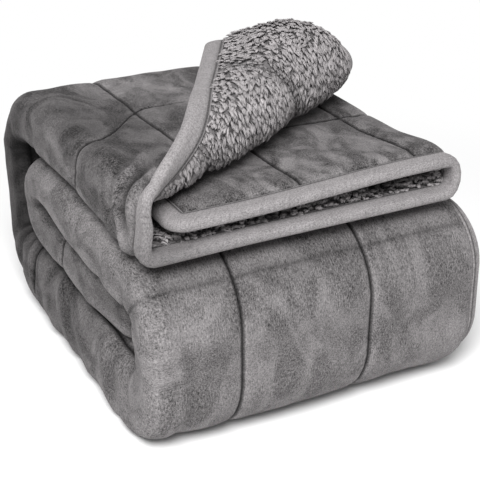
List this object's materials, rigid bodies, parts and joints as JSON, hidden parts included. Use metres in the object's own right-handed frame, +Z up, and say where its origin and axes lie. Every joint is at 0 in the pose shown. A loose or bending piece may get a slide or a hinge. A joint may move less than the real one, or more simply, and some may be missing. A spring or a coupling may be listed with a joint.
{
  "type": "folded fleece blanket",
  "caption": "Quilted fleece blanket with a curly pile back, folded and rolled into a neat stack, one corner turned back.",
  "frame": {"origin": "on the floor, under the middle of the folded stack", "axes": "+Z up; the mouth with the turned-back corner faces -Y; +X to the right as seen from the front"},
  "size_m": [0.4403, 0.496, 0.4007],
  "materials": {
    "flannel": "short brushed nap",
    "sherpa": "curly pile",
    "binding": "short nap"
  },
  "bodies": {
    "root": {"face_panel": "flannel", "back_panel": "sherpa", "edge_binding": "binding"}
  },
  "joints": []
}
